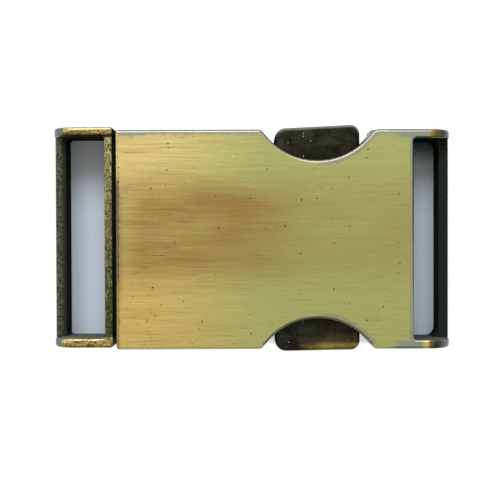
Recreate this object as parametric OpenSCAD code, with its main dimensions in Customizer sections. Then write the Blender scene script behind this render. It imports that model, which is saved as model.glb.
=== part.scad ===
// Metal side release buckle for flat webbing, fastened and lying on its back plate.
// The long side runs along X, with the plug at the -X end and the socket at the +X end.
// Z = 0 is the face that the buckle rests on, below the middle of its length and width.

/* [Webbing] */
// Width of the webbing that the buckle is made for
strap_w = 25; // [20:1:50]
// Spare width of the strap slots, over the webbing
strap_play = 1.8; // [0.8:0.1:3]

/* [Outer shape] */
// Height from the resting face to the top face
buckle_h = 7.8; // [7.2:0.1:11]
// Thickness of the arms beside the strap slots
loop_arm_t = 1.2; // [1:0.05:2]
// Height of the strap bars
bar_h = 4.5; // [2.5:0.1:4.7]
// Radius of the long edges
edge_r = 0.45; // [0.2:0.05:0.7]
// Radius of the upright corners
corner_r = 0.4; // [0.2:0.05:0.7]
// Radius of the rolled-over ends of the arms
end_roll_r = 3; // [1.5:0.1:3.4]
// Radius of the lower edge at both ends
end_foot_r = 0.8; // [0.3:0.1:1.5]
// Radius of the edges on both sides of the joint line
rim_r = 0.3; // [0.1:0.05:0.5]

/* [Socket] */
// Length of the housing, from its mouth to the strap slot
housing_l = 39.41; // [37:0.01:50]
// Thickness of the top plate
top_t = 1.3; // [1:0.1:1.5]
// Thickness of the back plate
floor_t = 1.2; // [1:0.1:1.4]
// Thickness of the side walls
side_t = 1.5; // [1.2:0.1:2]
// Thickness of the wall between the cavity and the strap slot
end_t = 1.5; // [1:0.1:3]
// Radius of the cavity's long corners
cavity_r = 0.5; // [0.2:0.1:1]
// Length of the socket's strap slot
socket_slot_l = 4.08; // [4.06:0.02:8]
// Radius of that slot's corners at the housing
socket_slot_r = 0.45; // [0.3:0.05:1]
// Radius of that slot's corners at the bar
socket_slot_bar_r = 1.2; // [0.3:0.1:1.5]
// Thickness of the socket's strap bar
socket_bar_t = 1.2; // [1:0.02:2.5]

/* [Finger notches] */
// Distance from the end wall back to the middle of the notches
notch_back = 11.08; // [10:0.01:12]
// Depth of a notch, from the long side
notch_depth = 4.07; // [3.4:0.01:5]
// Radius of the round part of a notch
notch_r = 8.8; // [7.5:0.05:9.5]
// Angle of the straight flanks to the long side
notch_flank_a = 49.5; // [45:0.5:54]
// Radius where a flank meets the long side
notch_corner_r = 0.8; // [0.2:0.1:1.2]

/* [Plug] */
// Thickness of the cross bar that closes the housing's mouth
flange_t = 1.06; // [0.8:0.02:2.5]
// Gap between the cross bar and the mouth
mouth_gap = 0.43; // [0.2:0.01:1]
// Height of the plug's underside over the resting face
plug_lift = 0.2; // [0.1:0.1:0.6]
// Sideways play that the plug has taken up
plug_shift = 0.3; // [0:0.05:0.35]
// How much wider the plug is than the socket
plug_over_w = 0.16; // [0:0.02:0.4]
// Length of the plug's strap slot
plug_slot_l = 5.54; // [4.2:0.02:9]
// Radius of that slot's corners
plug_slot_r = 0.4; // [0.2:0.1:1]
// Thickness of the plug's strap bar
plug_bar_t = 1.48; // [1.2:0.01:2.5]
// Length of the tongue's wide root, from the cross bar
root_l = 7.96; // [7.9:0.1:9]
// Gap between the root and the cavity, on each side
root_side_gap = 0.5; // [0.4:0.05:0.8]
// Gap between the tongue and the cavity, above and below
tongue_gap = 0.25; // [0.1:0.05:0.4]
// Width of the tongue's middle bar
spine_w = 5.8; // [4.8:0.1:6.4]
// Gap between the tongue's tip and the end wall
tip_gap = 1.86; // [1:0.1:4]

/* [Release levers] */
// Distance from the cross bar to the pivots
pivot_x = 5.26; // [4.5:0.1:5.4]
// Distance from the root's side to the levers' eyes
pivot_margin = 0.7; // [0.5:0.05:1]
// Radius of a lever's eye
eye_r = 2.3; // [1.9:0.1:2.4]
// Thickness of a lever's eye
eye_t = 1.9; // [1.4:0.1:2.2]
// Gap between an eye and each ear of the root
ear_gap = 0.1; // [0.05:0.05:0.2]
// Radius of the pivot pins
pin_r = 1; // [0.7:0.05:1.2]
// Gap between a pin and the root's holes
pin_seat_gap = 0.03; // [0.02:0.01:0.06]
// Gap between a pin and the lever's hole
pin_run_gap = 0.06; // [0.03:0.01:0.1]
// Gap between a pin's ends and the root's faces
pin_end_gap = 0.05; // [0.05:0.05:0.2]
// Room around an eye in its slot
eye_room = 0.4; // [0.3:0.1:0.8]
// Width of a lever's arm
arm_w = 3; // [2:0.1:3.4]
// Gap between an arm and the cavity's side, with the plug central
arm_gap = 0.7; // [0.6:0.05:1]
// Gap between an arm's shoulder and the root
shoulder_gap = 0.6; // [0.3:0.05:1]
// Height by which a pad passes its arm, above and below
pad_step = 0.4; // [0.2:0.1:0.8]
// Gap between a pad and the cavity, above and below
pad_gap = 0.15; // [0.1:0.05:0.3]
// Length of a finger pad
pad_l = 11.4; // [9.5:0.1:11.6]
// Distance from the tongue's middle bar to a pad
pad_inner_gap = 5.2; // [4.9:0.1:5.6]
// Radius of a pad's outer corners
pad_corner_r = 1.2; // [0.6:0.1:2]
// How far pad A stands out of the long side, at its middle
pad_a_proud = 0.5; // [0.2:0.05:0.9]
// Slope of pad A's outer face, rising to its nose
pad_a_slope = 2.7; // [-3:0.1:3]
// How far pad B stands out of the long side, at its middle
pad_b_proud = 0.35; // [0.1:0.05:0.9]
// Slope of pad B's outer face, rising to its nose
pad_b_slope = -0.9; // [-3:0.1:3]
// Length of the nose in front of a pad
nose_l = 2.8; // [1.5:0.1:3.2]
// Radius of the nose's outer corner
nose_r = 1.2; // [0.5:0.1:1.3]

/* [Lever springs] */
// Outer diameter of a spring
spring_d = 3; // [2.4:0.1:3.2]
// Diameter of the spring wire
wire_d = 0.45; // [0.3:0.05:0.5]
// Number of turns
spring_turns = 6; // [4:1:7]
// Distance from the notch's middle back to the springs
spring_back = 2.8; // [1.5:0.1:3.4]
// Depth of the pockets that hold a spring's ends
pocket_depth = 0.7; // [0.3:0.05:0.9]
// Gap between a spring and its pockets, around and at the ends
spring_gap = 0.1; // [0.05:0.05:0.2]
// Further room around a spring in the pad's pocket, which swings with the lever
swing_room = 0.35; // [0.3:0.05:0.5]

/* [Hidden] */
$fn = 64;

BRASS_TOP = [0.66, 0.62, 0.38];
BRASS_DARK = [0.46, 0.43, 0.28];
BRASS_BLACKENED = [0.24, 0.22, 0.17];
STEEL = [0.62, 0.63, 0.64];

// Cuts run this far past the faces that they open
over = 1;

slot_w = strap_w + strap_play;
buckle_w = slot_w + 2 * loop_arm_t;
half_w = buckle_w / 2;

// Places along X, from the plug's end to the socket's end
buckle_l = plug_bar_t + plug_slot_l + flange_t + mouth_gap + housing_l + socket_slot_l + socket_bar_t;
plug_end_x = -buckle_l / 2;
plug_slot_x = plug_end_x + plug_bar_t;
flange_x = plug_slot_x + plug_slot_l;
flange_face_x = flange_x + flange_t;
mouth_x = flange_face_x + mouth_gap;
socket_slot_x = mouth_x + housing_l;
socket_end_x = buckle_l / 2;
end_wall_x = socket_slot_x - end_t;
notch_mid_x = end_wall_x - notch_back;

// The cavity and what slides into it
cavity_h = buckle_h - top_t - floor_t;
cavity_half_w = half_w - side_t;
mid_z = floor_t + cavity_h / 2;
tongue_h = cavity_h - 2 * tongue_gap;
root_half_w = cavity_half_w - root_side_gap;
root_face_x = flange_face_x + root_l;

// The levers, on the plug's own centre line
pin_x = flange_face_x + pivot_x;
pin_y = root_half_w - pivot_margin - eye_r;
arm_outer_y = cavity_half_w - arm_gap;
arm_inner_y = arm_outer_y - arm_w;
shoulder_x = root_face_x + shoulder_gap;
pad_h = cavity_h - 2 * pad_gap;
arm_h = pad_h - 2 * pad_step;
pad_x = notch_mid_x - pad_l / 2;
pad_inner_y = spine_w / 2 + pad_inner_gap;

// The springs, between the tongue's middle bar and the pads
spring_x = notch_mid_x - spring_back;
pocket_r = spring_d / 2 + spring_gap;
spring_y = spine_w / 2 - pocket_depth + spring_gap;
spring_l = pad_inner_y + pocket_depth - spring_gap - spring_y;
WIRE_SIDES = 6;
STEPS_PER_TURN = 14;

// A rectangle from the origin, with one radius at its two -X corners and another at its two +X corners
module round_plate(length, width, near_r, far_r) {
    translate([near_r, -width / 2]) square([length - near_r - far_r, width]);
    translate([0, near_r - width / 2]) square([near_r, width - 2 * near_r]);
    translate([length - far_r, far_r - width / 2]) square([far_r, width - 2 * far_r]);
    for (side = [-1, 1]) {
        translate([near_r, side * (width / 2 - near_r)]) circle(near_r);
        translate([length - far_r, side * (width / 2 - far_r)]) circle(far_r);
    }
}

// Seen from the side: flat, with its far end rolled over at the top and a small radius at the other corners
module side_outline(length, base_z) {
    near_r = rim_r;
    height = buckle_h - base_z;
    translate([near_r, base_z]) square([length - near_r - end_roll_r, height]);
    translate([0, base_z + near_r]) square([near_r, height - 2 * near_r]);
    translate([length - end_roll_r, base_z + end_foot_r])
        square([end_roll_r, height - end_foot_r - end_roll_r]);
    translate([length - end_roll_r, base_z]) square([end_roll_r - end_foot_r, end_foot_r]);
    translate([near_r, base_z + near_r]) circle(near_r);
    translate([near_r, buckle_h - near_r]) circle(near_r);
    translate([length - end_roll_r, buckle_h - end_roll_r]) circle(end_roll_r);
    translate([length - end_foot_r, base_z + end_foot_r]) circle(end_foot_r);
}

// A full-width bar, rounded along its long edges, at its upright corners and at its far end
module outer_body(length, width, base_z) {
    height = buckle_h - base_z;
    intersection() {
        rotate([90, 0, 0]) linear_extrude(width + 2 * over, center = true)
            side_outline(length, base_z);
        translate([-over, 0, buckle_h]) rotate([0, 90, 0]) linear_extrude(length + 2 * over)
            round_plate(height, width, edge_r, edge_r);
        translate([0, 0, base_z - over]) linear_extrude(height + 2 * over)
            round_plate(length, width, corner_r, corner_r);
    }
}

// The slot for the webbing, with the bar behind it set lower than the arms
module strap_cut(length, housing_side_r, bar_side_r, bar_t, base_z) {
    translate([0, 0, base_z - over]) linear_extrude(buckle_h + 2 * over)
        round_plate(length, slot_w, housing_side_r, bar_side_r);
    translate([length - bar_side_r, -slot_w / 2, base_z + bar_h])
        cube([bar_side_r + bar_t + over, slot_w, buckle_h]);
}

// One finger notch on the +Y side, round at its bottom, with straight flanks and eased corners
module notch_outline() {
    centre_y = half_w - notch_depth + notch_r;
    flank_x0 = notch_r * sin(notch_flank_a);
    flank_y0 = centre_y - notch_r * cos(notch_flank_a);
    flank_x1 = flank_x0 + (half_w - flank_y0) / tan(notch_flank_a);
    ease = notch_corner_r * tan(notch_flank_a / 2);
    right = [
        [flank_x0, flank_y0],
        [flank_x1 - ease * cos(notch_flank_a), half_w - ease * sin(notch_flank_a)],
        [flank_x1 + ease, half_w],
        [flank_x1 + ease, half_w + over]
    ];
    left = [for (i = [len(right) - 1 : -1 : 0]) [-right[i].x, right[i].y]];
    difference() {
        union() {
            intersection() {
                translate([0, centre_y]) circle(notch_r, $fn = 128);
                translate([-notch_r, 0]) square([2 * notch_r, half_w + over]);
            }
            polygon(concat(right, left));
        }
        for (side = [-1, 1])
            translate([side * (flank_x1 + ease), half_w - notch_corner_r]) circle(notch_corner_r);
    }
}

module socket_housing() {
    length = socket_end_x - mouth_x;
    color(BRASS_TOP) difference() {
        translate([mouth_x, 0, 0]) outer_body(length, buckle_w, 0);
        translate([mouth_x - over, 0, floor_t + cavity_h]) rotate([0, 90, 0])
            linear_extrude(end_wall_x - mouth_x + over)
                round_plate(cavity_h, 2 * cavity_half_w, cavity_r, cavity_r);
        translate([socket_slot_x, 0, 0])
            strap_cut(socket_slot_l, socket_slot_r, socket_slot_bar_r, socket_bar_t, 0);
        for (flip = [0, 1])
            mirror([0, flip, 0]) translate([notch_mid_x, 0, -over])
                linear_extrude(buckle_h + 2 * over) notch_outline();
    }
}

// The tongue: a wide root with a slot for each lever's eye, and a middle bar between the springs
module tongue() {
    spine_l = end_wall_x - tip_gap - root_face_x;
    difference() {
        union() {
            translate([flange_face_x - flange_t / 2, -root_half_w, mid_z - tongue_h / 2])
                cube([root_l + flange_t / 2, 2 * root_half_w, tongue_h]);
            translate([root_face_x - over, -spine_w / 2, mid_z - tongue_h / 2])
                cube([spine_l + over - spine_w / 2, spine_w, tongue_h]);
            translate([root_face_x + spine_l - spine_w / 2, 0, mid_z - tongue_h / 2])
                cylinder(h = tongue_h, d = spine_w);
        }
        for (side = [-1, 1]) {
            translate([pin_x, side * pin_y, 0]) lever_slot(side);
            translate([pin_x, side * pin_y, mid_z])
                cylinder(h = tongue_h + 2 * over, r = pin_r + pin_seat_gap, center = true);
            translate([spring_x, side * (spine_w / 2 - pocket_depth), mid_z])
                rotate([-side * 90, 0, 0]) cylinder(h = pocket_depth + over, r = pocket_r);
        }
    }
}

// The gap between the root's two ears, open to the side and to the front
module lever_slot(side) {
    gap_h = eye_t + 2 * ear_gap;
    reach_in = eye_r + eye_room;
    reach_out = root_half_w - pin_y + over;
    translate([-reach_in, side > 0 ? -reach_in : -reach_out, mid_z - gap_h / 2])
        cube([reach_in + root_l - pivot_x + over, reach_in + reach_out, gap_h]);
}

module plug_frame() {
    length = flange_face_x - plug_end_x;
    color(BRASS_DARK) translate([0, plug_shift, 0]) {
        difference() {
            translate([flange_face_x, 0, 0]) mirror([1, 0, 0])
                outer_body(length, buckle_w + plug_over_w, plug_lift);
            translate([flange_x, 0, 0]) mirror([1, 0, 0])
                strap_cut(plug_slot_l, plug_slot_r, plug_slot_r, plug_bar_t, plug_lift);
        }
        tongue();
    }
}

// A pad's outline: straight sides, a sloped outer face and two round outer corners
module pad_outline(outer_y, slope) {
    r = pad_corner_r;
    x0 = r - pad_l / 2;
    x1 = pad_l / 2 - r;
    y0 = outer_y + x0 * tan(slope) - r / cos(slope);
    y1 = outer_y + x1 * tan(slope) - r / cos(slope);
    polygon([
        [x0 - r, pad_inner_y],
        [x0 - r, y0],
        [x0 - r * sin(slope), y0 + r * cos(slope)],
        [x1 - r * sin(slope), y1 + r * cos(slope)],
        [x1 + r, y1],
        [x1 + r, pad_inner_y]
    ]);
    translate([x0, y0]) circle(r);
    translate([x1, y1]) circle(r);
}

// A release lever on the +Y side: eye, neck, arm, finger pad and nose
module lever(outer_y, slope) {
    difference() {
        union() {
            translate([pin_x, pin_y, mid_z]) cylinder(h = eye_t, r = eye_r, center = true);
            translate([0, 0, mid_z - eye_t / 2]) linear_extrude(eye_t) polygon([
                [pin_x, pin_y - eye_r],
                [shoulder_x + over, arm_inner_y],
                [shoulder_x + over, arm_outer_y],
                [shoulder_x, arm_outer_y],
                [pin_x, pin_y + eye_r]
            ]);
            translate([shoulder_x, arm_inner_y, mid_z - arm_h / 2])
                cube([pad_x + over - shoulder_x, arm_w, arm_h]);
            translate([notch_mid_x, 0, mid_z - pad_h / 2]) linear_extrude(pad_h)
                pad_outline(outer_y, slope);
            translate([pad_x + pad_l - over, 0, mid_z - arm_h / 2]) linear_extrude(arm_h)
                nose_outline();
        }
        translate([pin_x, pin_y, mid_z])
            cylinder(h = eye_t + 2 * over, r = pin_r + pin_run_gap, center = true);
        translate([spring_x, pad_inner_y - over, mid_z]) rotate([-90, 0, 0])
            cylinder(h = pocket_depth + over, r = pocket_r + swing_room);
    }
}

// The nose in front of the pad, round at its outer corner
module nose_outline() {
    length = nose_l + over;
    width = arm_outer_y - pad_inner_y;
    translate([0, pad_inner_y]) {
        square([length, width - nose_r]);
        square([length - nose_r, width]);
        translate([length - nose_r, width - nose_r]) circle(nose_r);
    }
}

module release_lever_a() {
    color(BRASS_BLACKENED) translate([0, plug_shift, 0])
        lever(half_w + pad_a_proud - plug_shift, pad_a_slope);
}

module release_lever_b() {
    color(BRASS_BLACKENED) translate([0, plug_shift, 0]) mirror([0, 1, 0])
        lever(half_w + pad_b_proud + plug_shift, pad_b_slope);
}

module pivot_pin(side) {
    color(STEEL) translate([pin_x, plug_shift + side * pin_y, mid_z])
        cylinder(h = tongue_h - 2 * pin_end_gap, r = pin_r, center = true);
}

module pivot_pin_a() {
    pivot_pin(1);
}

module pivot_pin_b() {
    pivot_pin(-1);
}

// Height of the wire's centre after a number of turns: the end turns lie close, the others are spread evenly
function wire_z(turn) =
    let (close = wire_d * 1.06, spread = (spring_l - wire_d - 2 * close) / (spring_turns - 2))
    wire_d / 2 + close * min(turn, 1) + spread * max(0, min(turn, spring_turns - 1) - 1)
        + close * max(0, turn - spring_turns + 1);

// A coil spring that stands on the origin, its wire a tube of a few flat sides
module coil_spring() {
    steps = spring_turns * STEPS_PER_TURN;
    coil_r = (spring_d - wire_d) / 2;
    points = [
        for (i = [0 : steps], j = [0 : WIRE_SIDES - 1])
            let (
                turn = i / STEPS_PER_TURN,
                around = 360 * j / WIRE_SIDES,
                r = coil_r + wire_d / 2 * cos(around)
            )
            [r * cos(360 * turn), r * sin(360 * turn), wire_z(turn) + wire_d / 2 * sin(around)]
    ];
    walls = [
        for (i = [0 : steps - 1], j = [0 : WIRE_SIDES - 1])
            let (next = (j + 1) % WIRE_SIDES, here = i * WIRE_SIDES, there = here + WIRE_SIDES)
            [here + j, there + j, there + next, here + next]
    ];
    first_cap = [for (j = [0 : WIRE_SIDES - 1]) j];
    last_cap = [for (j = [WIRE_SIDES - 1 : -1 : 0]) steps * WIRE_SIDES + j];
    polyhedron(points, concat(walls, [first_cap, last_cap]), convexity = 10);
}

module lever_spring(side) {
    color(STEEL) translate([spring_x, plug_shift + side * spring_y, mid_z])
        rotate([-side * 90, 0, 0]) coil_spring();
}

module lever_spring_a() {
    lever_spring(1);
}

module lever_spring_b() {
    lever_spring(-1);
}

socket_housing();
plug_frame();
release_lever_a();
release_lever_b();
pivot_pin_a();
pivot_pin_b();
lever_spring_a();
lever_spring_b();
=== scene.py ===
"""A fastened side release buckle of antique brass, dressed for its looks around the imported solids."""

import logging
import math
from dataclasses import dataclass
from enum import Enum
from typing import Callable

import bmesh
import bpy
from mathutils import Matrix, Vector


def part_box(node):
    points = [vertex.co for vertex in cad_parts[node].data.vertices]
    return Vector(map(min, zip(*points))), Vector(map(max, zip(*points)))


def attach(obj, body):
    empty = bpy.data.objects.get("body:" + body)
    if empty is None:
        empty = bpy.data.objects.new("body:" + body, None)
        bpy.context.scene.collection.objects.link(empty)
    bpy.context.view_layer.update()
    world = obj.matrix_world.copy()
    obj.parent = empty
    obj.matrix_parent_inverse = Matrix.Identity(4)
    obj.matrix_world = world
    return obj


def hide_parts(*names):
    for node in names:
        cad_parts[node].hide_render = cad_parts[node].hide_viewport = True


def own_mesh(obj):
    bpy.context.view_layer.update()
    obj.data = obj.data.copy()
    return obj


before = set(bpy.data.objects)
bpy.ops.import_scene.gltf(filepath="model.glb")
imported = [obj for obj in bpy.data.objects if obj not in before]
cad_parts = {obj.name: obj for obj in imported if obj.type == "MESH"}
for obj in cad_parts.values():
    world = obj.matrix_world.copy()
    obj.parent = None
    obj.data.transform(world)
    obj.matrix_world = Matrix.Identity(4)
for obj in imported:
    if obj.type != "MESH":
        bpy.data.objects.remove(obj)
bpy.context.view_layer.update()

LOG = logging.getLogger("buckle")
MM = 0.001
# Angles in degrees: past the first a corner is rounded, and past the second the shading parts.
SHARP_CORNER = 28
SHARP_SHADING = 40
# How near to a plane an edge counts as lying in it, in millimetres.
TOUCH = 0.02


class Axis(Enum):
    """The three axes of the buckle's frame."""

    X = Vector((1, 0, 0))
    Y = Vector((0, 1, 0))
    Z = Vector((0, 0, 1))


class Side(Enum):
    """The buckle's two long sides: A is +Y, B is -Y."""

    A = 1
    B = -1


# Solids, built in millimetres


@dataclass(frozen=True)
class EdgeFacts:
    """What a rule can ask of an edge: its middle in millimetres, its direction and its two faces' normals."""

    middle: Vector
    direction: Vector
    normals: tuple[Vector, Vector]

    @classmethod
    def of(cls, edge: bmesh.types.BMEdge) -> "EdgeFacts":
        """Reads them from an edge with two faces."""
        start, end = (v.co for v in edge.verts)
        normals = [f.normal.copy() for f in edge.link_faces]
        return cls((start + end) / 2, (end - start).normalized(), (normals[0], normals[-1]))

    def mirrored(self, axis: Axis) -> "EdgeFacts":
        """The facts as they would read if the solid were mirrored along an axis."""
        flip = Matrix.Scale(-1, 3, axis.value)
        first, second = self.normals
        return EdgeFacts(flip @ self.middle, flip @ self.direction, (flip @ first, flip @ second))

    def along(self, axis: Axis) -> bool:
        """Whether the edge runs along an axis."""
        return abs(self.direction.dot(axis.value)) > 0.99

    def beside(self, axis: Axis, sign: int) -> bool:
        """Whether one of its faces looks along an axis.

        Args:
            axis: The axis to test.
            sign: 1 or -1, the direction along it.

        Returns:
            True if a normal lies within about 8 degrees of that direction.
        """
        return any(normal.dot(axis.value) * sign > 0.99 for normal in self.normals)


Test = Callable[[EdgeFacts], bool]


@dataclass(frozen=True)
class Softening:
    """A radius in millimetres for the edges that a test picks."""

    radius: float
    picks: Test

    def mirrored(self, axis: Axis) -> "Softening":
        """The same rule for a solid that was mirrored along an axis."""
        return Softening(self.radius, lambda e: self.picks(e.mirrored(axis)))


class Solid:
    """A closed shape under construction, in millimetres."""

    def __init__(self, mesh: bmesh.types.BMesh) -> None:
        """Takes over a bmesh."""
        self.mesh = mesh

    @classmethod
    def block(cls, low: tuple[float, float, float], high: tuple[float, float, float]) -> "Solid":
        """A box between two corners.

        Args:
            low: The lowest corner.
            high: The highest corner.

        Returns:
            The box.
        """
        mesh = bmesh.new()
        size = Vector(high) - Vector(low)
        middle = (Vector(high) + Vector(low)) / 2
        place = Matrix.Translation(middle) @ Matrix.Diagonal((*size, 1))
        bmesh.ops.create_cube(mesh, size=1, matrix=place)
        return cls(mesh)

    @classmethod
    def rod(
        cls, middle: tuple[float, float, float], radius: float, length: float, axis: Axis = Axis.Z,
        sides: int = 64,
    ) -> "Solid":
        """A round bar.

        Args:
            middle: The bar's middle.
            radius: Its radius.
            length: Its length.
            axis: The axis that it lies along.
            sides: How many sides it is drawn with.

        Returns:
            The bar.
        """
        mesh = bmesh.new()
        turn = Axis.Z.value.rotation_difference(axis.value).to_matrix().to_4x4()
        bmesh.ops.create_cone(
            mesh, cap_ends=True, segments=sides, radius1=radius, radius2=radius, depth=length,
            matrix=Matrix.Translation(middle) @ turn,
        )
        return cls(mesh)

    @classmethod
    def prism(cls, outline: list[Vector], low_z: float, high_z: float) -> "Solid":
        """An outline in plan, extruded upwards.

        Args:
            outline: The outline's points, in order.
            low_z: The height of its lower face.
            high_z: The height of its upper face.

        Returns:
            The prism.
        """
        mesh = bmesh.new()
        face = mesh.faces.new([mesh.verts.new((p.x, p.y, low_z)) for p in outline])
        raised = bmesh.ops.extrude_face_region(mesh, geom=[face], use_keep_orig=True)
        top = [v for v in raised["geom"] if isinstance(v, bmesh.types.BMVert)]
        bmesh.ops.translate(mesh, verts=top, vec=(0, 0, high_z - low_z))
        bmesh.ops.recalc_face_normals(mesh, faces=mesh.faces)
        return cls(mesh)

    def soften(self, radius: float, steps: int, picks: Test) -> "Solid":
        """Rounds chosen edges at once.

        Args:
            radius: The radius of the rounding.
            steps: How many flats stand for it.
            picks: The test that an edge passes to be rounded.

        Returns:
            The same solid.
        """
        chosen = [e for e in self.mesh.edges if picks(EdgeFacts.of(e))]
        bmesh.ops.bevel(
            self.mesh, geom=chosen, offset=radius, segments=steps, affect="EDGES",
            profile=0.5, material=-1,
        )
        return self

    def as_object(self, name: str) -> bpy.types.Object:
        """A linked object that holds the shape."""
        data = bpy.data.meshes.new(name)
        self.mesh.to_mesh(data)
        made = bpy.data.objects.new(name, data)
        bpy.context.scene.collection.objects.link(made)
        return made

    def _combine(self, other: "Solid", operation: str) -> None:
        """Joins or cuts with another solid, which is used up.

        Args:
            other: The other solid.
            operation: Blender's name of what is done.
        """
        base = self.as_object("base")
        tool = other.as_object("tool")
        step = base.modifiers.new("combine", "BOOLEAN")
        step.operation = operation
        step.solver = "EXACT"
        step.object = tool
        depsgraph = bpy.context.evaluated_depsgraph_get()
        result = bpy.data.meshes.new_from_object(base.evaluated_get(depsgraph))
        self.mesh.clear()
        self.mesh.from_mesh(result)
        other.mesh.free()
        for used in (base, tool):
            data = used.data
            bpy.data.objects.remove(used)
            bpy.data.meshes.remove(data)
        bpy.data.meshes.remove(result)

    def cut(self, *others: "Solid") -> "Solid":
        """Takes the other solids away from this one."""
        for other in others:
            self._combine(other, "DIFFERENCE")
        return self

    def join(self, *others: "Solid") -> "Solid":
        """Makes this solid and the others one."""
        for other in others:
            self._combine(other, "UNION")
        return self

    def moved(self, offset: tuple[float, float, float]) -> "Solid":
        """The same solid, shifted."""
        bmesh.ops.translate(self.mesh, verts=self.mesh.verts, vec=offset)
        return self

    def mirrored(self, axis: Axis) -> "Solid":
        """The same solid, mirrored through the origin along one axis."""
        bmesh.ops.transform(self.mesh, matrix=Matrix.Scale(-1, 4, axis.value), verts=self.mesh.verts)
        bmesh.ops.recalc_face_normals(self.mesh, faces=self.mesh.faces)
        return self

    def on_side(self, side: Side) -> "Solid":
        """The same solid, built on side A, taken to the side asked for."""
        return self if side is Side.A else self.mirrored(Axis.Y)

    def cleaned(self) -> "Solid":
        """The same solid without the stray points and flat edges that cuts leave."""
        bmesh.ops.remove_doubles(self.mesh, verts=self.mesh.verts, dist=0.002)
        bmesh.ops.dissolve_limit(
            self.mesh, angle_limit=math.radians(0.2), verts=self.mesh.verts, edges=self.mesh.edges,
        )
        bmesh.ops.recalc_face_normals(self.mesh, faces=self.mesh.faces)
        return self


def arc(centre: tuple[float, float], radius: float, start: float, turn: float, steps: int) -> list[Vector]:
    """Points along a round stretch of an outline.

    Args:
        centre: The arc's centre in plan.
        radius: Its radius.
        start: The angle of its first point, in degrees from +X.
        turn: The angle that it covers, positive anticlockwise.
        steps: How many chords it has.

    Returns:
        The points, both ends included.
    """
    mesh = bmesh.new()
    at = Vector((*centre, 0))
    first = mesh.verts.new(at + Matrix.Rotation(math.radians(start), 3, "Z") @ Vector((radius, 0, 0)))
    bmesh.ops.spin(
        mesh, geom=[first], cent=at, axis=(0, 0, 1), angle=math.radians(turn), steps=steps,
        use_merge=False, use_duplicate=False,
    )
    points = [v.co.copy() for v in mesh.verts]
    mesh.free()
    return points


# Finishes


def tint(code: str) -> tuple[float, float, float, float]:
    """Turns an sRGB hex colour into a linear one."""
    parts = [int(code[i:i + 2], 16) / 255 for i in (1, 3, 5)]
    linear = [p / 12.92 if p <= 0.04045 else ((p + 0.055) / 1.055) ** 2.4 for p in parts]
    return (*linear, 1.0)


Link = bpy.types.NodeSocket | float | tuple[float, ...]
COLOUR = {"data_type": "RGBA"}
SMOOTH = {"interpolation_type": "SMOOTHSTEP"}
TIMES = {"operation": "MULTIPLY"}
PLUS = {"operation": "ADD"}
MINUS = {"operation": "SUBTRACT"}
LARGER = {"operation": "MAXIMUM"}
UNSIGNED = {"operation": "ABSOLUTE"}


class Wiring:
    """The node tree of one material or world."""

    def __init__(self, owner: bpy.types.Material | bpy.types.World) -> None:
        """Empties the owner's tree."""
        owner.use_nodes = True
        self.tree = owner.node_tree
        self.tree.nodes.clear()

    def add(
        self, kind: str, settings: dict[str, object], links: tuple[Link, ...] | dict[str, Link],
    ) -> bpy.types.NodeSocket | None:
        """Adds a node with its settings and links.

        Args:
            kind: The node's type, without the words ShaderNode.
            settings: Its properties.
            links: What goes into its inputs in use, in order or by name: sockets or plain values.

        Returns:
            The node's first output in use, or None if it has none.
        """
        made = self.tree.nodes.new("ShaderNode" + kind)
        for name, value in settings.items():
            setattr(made, name, value)
        inputs = [s for s in made.inputs if s.enabled]
        if isinstance(links, dict):
            inputs = [next(s for s in inputs if s.name == name) for name in links]
            links = tuple(links.values())
        for socket, source in zip(inputs, links):
            if isinstance(source, bpy.types.NodeSocket):
                self.tree.links.new(source, socket)
            else:
                socket.default_value = source
        return next((s for s in made.outputs if s.enabled), None)


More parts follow.
